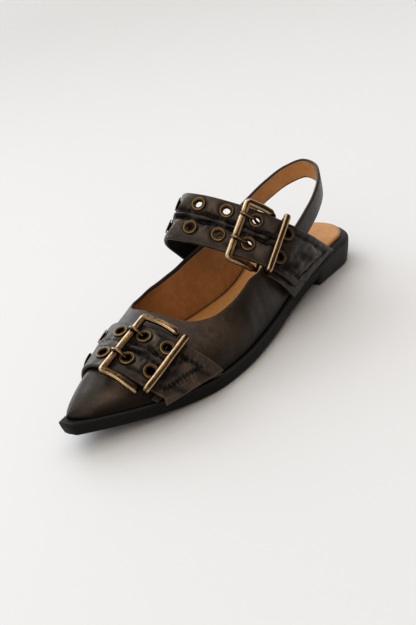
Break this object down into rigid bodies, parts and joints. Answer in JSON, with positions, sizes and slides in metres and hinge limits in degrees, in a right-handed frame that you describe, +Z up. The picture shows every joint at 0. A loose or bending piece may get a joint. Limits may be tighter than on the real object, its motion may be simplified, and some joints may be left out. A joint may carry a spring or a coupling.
{
  "type": "pointed-toe slingback flat",
  "caption": "Left pointed-toe flat of dark leather with an open back, a slingback strap and wide eyelet straps with brass buckles over toe and instep, on a low black rubber sole.",
  "frame": {"origin": "middle of the whole shoe's footprint box, on the floor plane under the sole", "axes": "+Y from the toe to the heel, +X to the outer (lateral) side of this left shoe, +Z up"},
  "size_m": [0.0816, 0.27, 0.0856],
  "materials": {
    "sole_rubber": "matte black moulded rubber",
    "insole_leather": "smooth tan sock lining",
    "upper_leather": "satin dark brown leather, caramel inside",
    "strap_leather": "satin black-brown leather",
    "antique_brass": "aged antique brass"
  },
  "bodies": {
    "root": {"unit_sole": "sole_rubber", "insole": "insole_leather", "upper": "upper_leather", "toe_strap": "strap_leather", "instep_strap": "strap_leather", "toe_strap_base": "strap_leather", "instep_strap_base": "strap_leather", "slingback_strap": "strap_leather", "toe_eyelet_front_1": "antique_brass", "toe_eyelet_front_2": "antique_brass", "toe_eyelet_front_3": "antique_brass", "toe_eyelet_front_4": "antique_brass", "toe_eyelet_rear_1": "antique_brass", "toe_eyelet_rear_2": "antique_brass", "toe_eyelet_rear_3": "antique_brass", "toe_eyelet_rear_4": "antique_brass", "instep_eyelet_front_1": "antique_brass", "instep_eyelet_front_2": "antique_brass", "instep_eyelet_front_3": "antique_brass", "instep_eyelet_front_4": "antique_brass", "instep_eyelet_front_5": "antique_brass", "instep_eyelet_rear_1": "antique_brass", "instep_eyelet_rear_2": "antique_brass", "instep_eyelet_rear_3": "antique_brass", "instep_eyelet_rear_4": "antique_brass", "instep_eyelet_rear_5": "antique_brass", "toe_buckle_frame": "antique_brass", "toe_keeper_loop": "antique_brass", "toe_prong_front": "antique_brass", "toe_prong_rear": "antique_brass", "instep_buckle_frame": "antique_brass", "instep_keeper_loop": "antique_brass", "instep_prong_front": "antique_brass", "instep_prong_rear": "antique_brass"}
  },
  "joints": []
}
